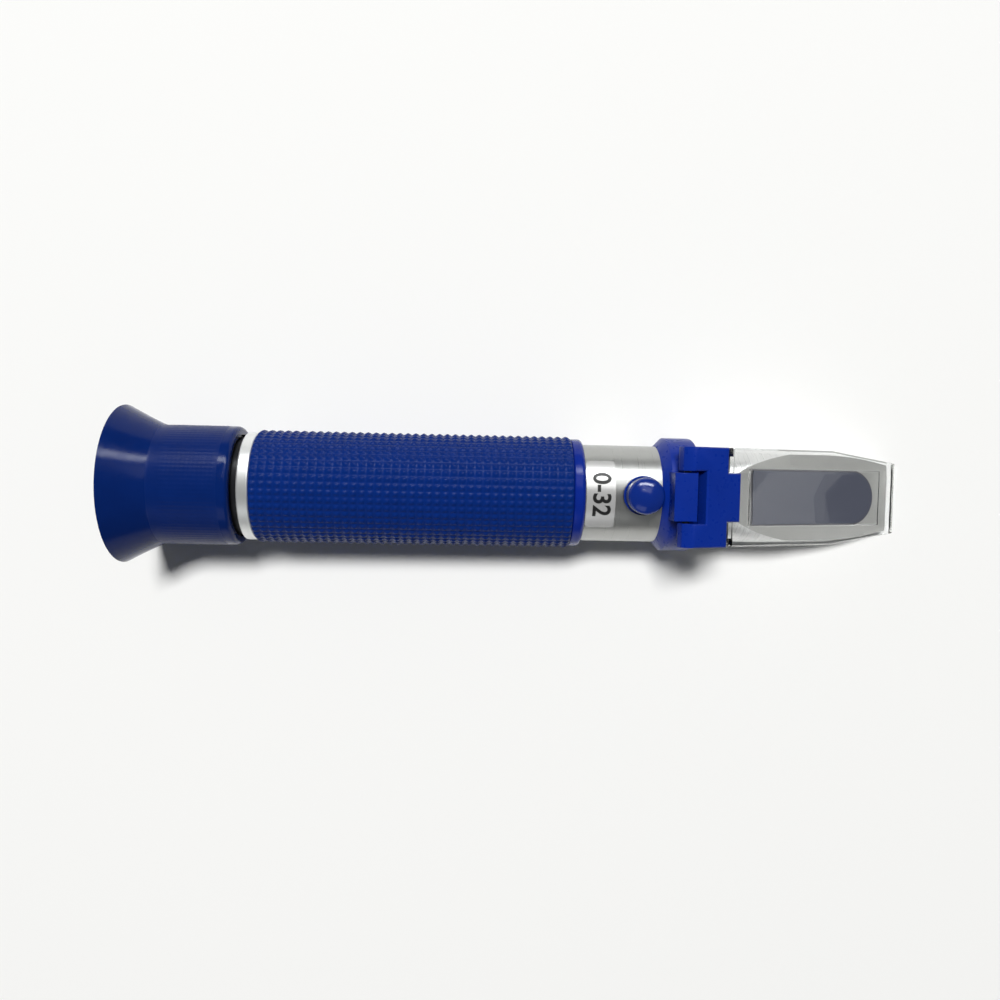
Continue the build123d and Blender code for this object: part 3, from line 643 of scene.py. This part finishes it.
class REFRACTOMETER_OT_label(bpy.types.Operator):
    """Wraps the silver label and its plain numbers over the barrel"""

    bl_idname = "refractometer.label"
    bl_label = "Range label"

    def execute(self, context):
        settings = context.scene.refractometer_label
        silver = Finish("Silver film", Metallic=0.6, Roughness=0.25)
        silver.tint(silver.grain(scale=700.0, detail=4.0), (0.76, 0.76, 0.75), (0.84, 0.84, 0.83))
        dress(frame["nodes"]["range_label"], silver.material)
        low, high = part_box("range_label")
        radius = high.z - AXIS_Z
        middle = (low.x + high.x) / 2
        weight, film, slice_width = 0.12 * MM, 0.02 * MM, 0.25 * MM
        curve = bpy.data.curves.new("Numbers", "FONT")
        curve.body = settings.text
        curve.size = settings.size
        curve.align_x = "CENTER"
        curve.align_y = "CENTER"
        curve.offset = weight
        curve.extrude = film
        flat = bpy.data.objects.new("Numbers", curve)
        context.scene.collection.objects.link(flat)
        context.view_layer.update()
        mesh = bpy.data.meshes.new_from_object(flat.evaluated_get(context.evaluated_depsgraph_get()))
        bpy.data.objects.remove(flat)
        mesh.name = "range_numbers"
        work = bmesh.new()
        work.from_mesh(mesh)
        place = -high.y
        while place < high.y:
            cut(work, (place, 0, 0), (1, 0, 0))
            place += slice_width
        for vertex in work.verts:
            along, up, out = vertex.co
            angle = -along / radius
            reach = radius + film + out
            vertex.co = (middle + up, reach * math.sin(angle), AXIS_Z + reach * math.cos(angle))
        bmesh.ops.recalc_face_normals(work, faces=work.faces)
        numbers = add_piece("range_numbers", finished(work, mesh), "barrel", "silver_label")
        ink = Finish("Printing ink", Roughness=0.4)
        ink.tint(ink.grain(scale=2500.0, detail=3.0), (0.006, 0.006, 0.006), (0.02, 0.02, 0.02))
        dress(numbers, ink.material)
        return {"FINISHED"}


class REFRACTOMETER_OT_inner(bpy.types.Operator):
    """Finishes the pieces inside the barrel and the eyepiece"""

    bl_idname = "refractometer.inner"
    bl_label = "Inner pieces"

    def execute(self, context):
        nodes = frame["nodes"]
        black = satin_metal("Black anodised", (0.03, 0.03, 0.032), 0.4)
        lens = glass("Lens glass", (0.96, 0.98, 0.97), index=1.52)
        brass = satin_metal("Brass", (0.72, 0.55, 0.26), 0.3)
        steel = satin_metal("Screw steel", (0.52, 0.52, 0.53), 0.28)
        for finish, names in (
            (black, ("lens_tube", "lens_spacer", "lens_retainer", "lens_cell")),
            (black, ("objective_retainer", "reticle_ring", "baffle_tube")),
            (lens, ("eye_lens", "field_lens", "objective_lens", "reticle")),
            (brass, ("strip_anchor", "calibration_bush", "calibration_screw")),
            (steel, ("anchor_screw", "guide_screw", "collar_set_screws")),
        ):
            for name in names:
                dress(nodes[name], finish)
        dress(nodes["focusing_ring"], moulded("Black plastic", (0.012, 0.012, 0.014), roughness=0.32))
        mesh = nodes["bimetal_strip"].data.copy()
        mesh.name = "compensator_strip"
        work = bmesh.new()
        work.from_mesh(mesh)
        start, end = ends("strip_anchor")[1], ends("lens_cell")[0]
        bends = 16
        for bend in range(bends + 1):
            cut(work, (start + (end - start) * bend / bends, 0, 0), (1, 0, 0))
        strip = add_piece("compensator_strip", finished(work, mesh), None, "bimetal", "bimetal_strip")
        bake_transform(strip)
        dress(strip, satin_metal("Bimetal", (0.6, 0.53, 0.44), 0.35, turning=1500.0))
        return {"FINISHED"}


class REFRACTOMETER_OT_stage(bpy.types.Operator):
    """Sets the floor, the wall, the lights and the camera"""

    bl_idname = "refractometer.stage"
    bl_label = "Stage"

    def execute(self, context):
        settings = context.scene.refractometer_stage
        scene = context.scene

        def linked(name, data):
            """Links a new object to the scene."""
            thing = bpy.data.objects.new(name, data)
            scene.collection.objects.link(thing)
            return thing

        def area(name, lights, direction, distance, size, power, colour):
            """A rectangular light that faces the instrument and lights its surfaces or its gloss alone."""
            light = bpy.data.lights.new(name, "AREA")
            light.shape = "RECTANGLE"
            light.size, light.size_y = size
            light.energy = power
            light.color = colour
            lamp = linked(name, light)
            toward = Vector(direction).normalized()
            lamp.location = Vector((0, 0, AXIS_Z)) + toward * distance
            lamp.rotation_euler = toward.to_track_quat("Z", "Y").to_euler()
            lamp.visible_glossy = lights == "gloss"
            lamp.visible_diffuse = lights == "surfaces"

        rim, _ = ends("eyecup")
        foot_low, foot_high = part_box("front_collar")
        lean = math.atan2(foot_low.z, foot_high.x - rim)
        work = bmesh.new()
        bmesh.ops.create_grid(work, x_segments=1, y_segments=1, size=8.0)
        floor = linked("floor", finished(work, bpy.data.meshes.new("floor")))
        floor.matrix_world = Matrix.Translation((rim, 0, 0)) @ Matrix.Rotation(-lean, 4, "Y")
        paper = Finish("Pale surface", Roughness=0.6, Specular_IOR_Level=0.05)
        paper.tint(paper.grain(scale=3.0, detail=2.0), (0.86, 0.865, 0.86), (0.88, 0.88, 0.875))
        dress(floor, paper.material)

        far = settings.wall
        work = bmesh.new()
        bmesh.ops.create_cone(work, cap_ends=False, segments=96, radius1=far, radius2=far, depth=1.4 * far)
        wall = linked("wall", finished(work, bpy.data.meshes.new("wall")))
        wall.visible_diffuse = wall.visible_glossy = wall.visible_shadow = False
        glow = (0.92, 0.92, 0.91)
        screen = Finish("Pale wall", Roughness=0.9, Emission_Strength=0.8, Emission_Color=glow)
        screen.tint(screen.grain(scale=2.0, detail=1.0), (0.0, 0.0, 0.0), (0.01, 0.01, 0.01))
        dress(wall, screen.material)

        area("Key", "surfaces", (-0.12, 0.33, 0.94), 3.0, (0.9, 0.51), settings.key, (1.0, 0.995, 0.98))
        area("Window", "gloss", (0.1, 0.76, 0.64), 1.4, (1.4, 0.24), settings.window, (0.97, 0.99, 1.0))
        area("Ceiling", "gloss", (0.12, 0.45, 0.88), 1.0, (0.7, 0.4), settings.ceiling, (1.0, 1.0, 0.99))
        area("Fill", "gloss", (-0.2, -0.85, 0.6), 1.2, (0.8, 0.5), settings.fill, (0.95, 0.98, 1.0))
        world = bpy.data.worlds.new("Room")
        world.use_nodes = True
        background = world.node_tree.nodes["Background"]
        background.inputs["Color"].default_value = (0.95, 0.98, 1.0, 1)
        background.inputs["Strength"].default_value = settings.room
        scene.world = world
        scene.view_settings.view_transform = "Standard"

        pixel = 0.235 * MM
        middle_row, axis_row = 500, 490.9
        centre = Vector((-4.78 * MM, 0, AXIS_Z))
        camera_data = bpy.data.cameras.new("Camera")
        camera_data.lens = settings.lens
        camera_data.clip_start = 0.01
        camera = linked("Camera", camera_data)
        turn = (
            Matrix.Rotation(-settings.spin, 4, "Z")
            @ Matrix.Rotation(settings.tilt, 4, "Y")
            @ Matrix.Rotation(settings.roll, 4, "X")
        )
        aim = Vector((0, (middle_row - axis_row) * pixel, 0))
        place = turn.transposed() @ (Vector((0, 0, settings.height)) - aim)
        camera.matrix_world = Matrix.Translation(centre + place) @ turn.transposed()
        scene.camera = camera
        return {"FINISHED"}


OPERATORS = (
    REFRACTOMETER_OT_metal,
    REFRACTOMETER_OT_grip,
    REFRACTOMETER_OT_eyecup,
    REFRACTOMETER_OT_cap,
    REFRACTOMETER_OT_collar,
    REFRACTOMETER_OT_cover,
    REFRACTOMETER_OT_prism,
    REFRACTOMETER_OT_label,
    REFRACTOMETER_OT_inner,
    REFRACTOMETER_OT_stage,
)


class REFRACTOMETER_PT_panel(bpy.types.Panel):
    """Lists the settings and the buttons that build the refractometer"""

    bl_idname = "REFRACTOMETER_PT_panel"
    bl_label = "Refractometer"
    bl_space_type = "VIEW_3D"
    bl_region_type = "UI"
    bl_category = "Refractometer"

    def draw(self, context):
        for group, settings in GROUPS.items():
            box = self.layout.box()
            for name in settings.__annotations__:
                box.prop(getattr(context.scene, group), name)
        for operator in OPERATORS:
            self.layout.operator(operator.bl_idname)


def register():
    """Adds the settings, the operators and the panel."""
    for settings in GROUPS.values():
        bpy.utils.register_class(settings)
    for group, settings in GROUPS.items():
        setattr(bpy.types.Scene, group, PointerProperty(type=settings))
    for operator in OPERATORS:
        bpy.utils.register_class(operator)
    bpy.utils.register_class(REFRACTOMETER_PT_panel)


def unregister():
    """Takes away what register added."""
    bpy.utils.unregister_class(REFRACTOMETER_PT_panel)
    for operator in reversed(OPERATORS):
        bpy.utils.unregister_class(operator)
    for group, settings in GROUPS.items():
        delattr(bpy.types.Scene, group)
        bpy.utils.unregister_class(settings)


def main():
    """Builds every piece and the stage."""
    register()
    bpy.ops.refractometer.metal()
    bpy.ops.refractometer.grip()
    bpy.ops.refractometer.eyecup()
    bpy.ops.refractometer.cap()
    bpy.ops.refractometer.collar()
    bpy.ops.refractometer.cover()
    bpy.ops.refractometer.prism()
    bpy.ops.refractometer.label()
    bpy.ops.refractometer.inner()
    bpy.ops.refractometer.stage()


if __name__ == "__main__":
    main()
